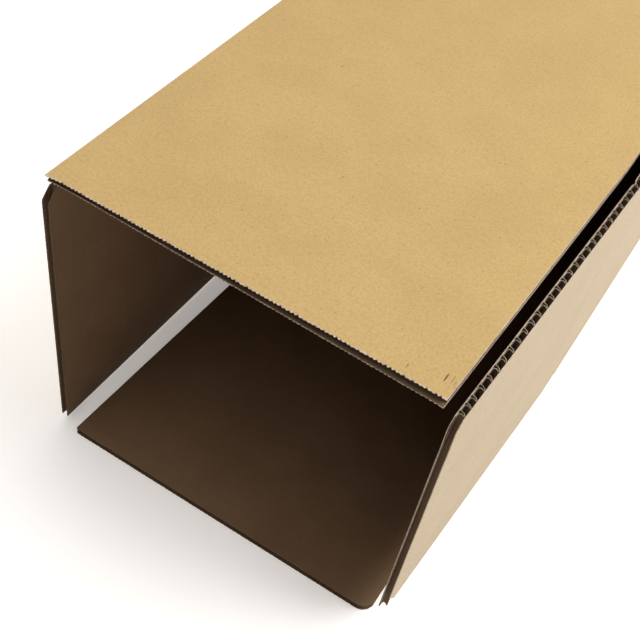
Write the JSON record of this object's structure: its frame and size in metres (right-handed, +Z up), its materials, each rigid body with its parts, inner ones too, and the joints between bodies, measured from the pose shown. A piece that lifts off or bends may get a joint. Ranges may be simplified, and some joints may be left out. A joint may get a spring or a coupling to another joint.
{
  "type": "corrugated box",
  "caption": "Kraft corrugated shipping box lying on its side, rear end closed and glued, with scored end flaps standing open at its mouth.",
  "frame": {"origin": "on the floor, under the middle of the box's bounding box", "axes": "+Z up, +Y along the tube from the open mouth to the closed rear, +X to the right seen from the mouth"},
  "size_m": [0.27, 0.6346, 0.232],
  "materials": {
    "kraft_board": "matt uncoated kraft paper"
  },
  "bodies": {
    "box": {"box_body": "kraft_board"},
    "top_flap": {"top_flap": "kraft_board"},
    "bottom_flap": {"bottom_flap": "kraft_board"},
    "left_flap": {"left_flap": "kraft_board"},
    "right_flap": {"right_flap": "kraft_board"}
  },
  "joints": [
    {"name": "top_flap_fold", "type": "hinge", "parent": "box", "child": "top_flap", "pos_m": [0, -0.09375, 0.2295], "axis": [1, 0, 0], "range_deg": [-90, 90]},
    {"name": "bottom_flap_fold", "type": "hinge", "parent": "box", "child": "bottom_flap", "pos_m": [0, -0.09925, 0.0025], "axis": [-1, 0, 0], "range_deg": [-90, 90]},
    {"name": "left_flap_fold", "type": "hinge", "parent": "box", "child": "left_flap", "pos_m": [-0.1325, -0.08275, 0.116], "axis": [0, 0, 1], "range_deg": [-90, 90]},
    {"name": "right_flap_fold", "type": "hinge", "parent": "box", "child": "right_flap", "pos_m": [0.1325, -0.08825, 0.116], "axis": [0, 0, -1], "range_deg": [-92, 88]}
  ]
}
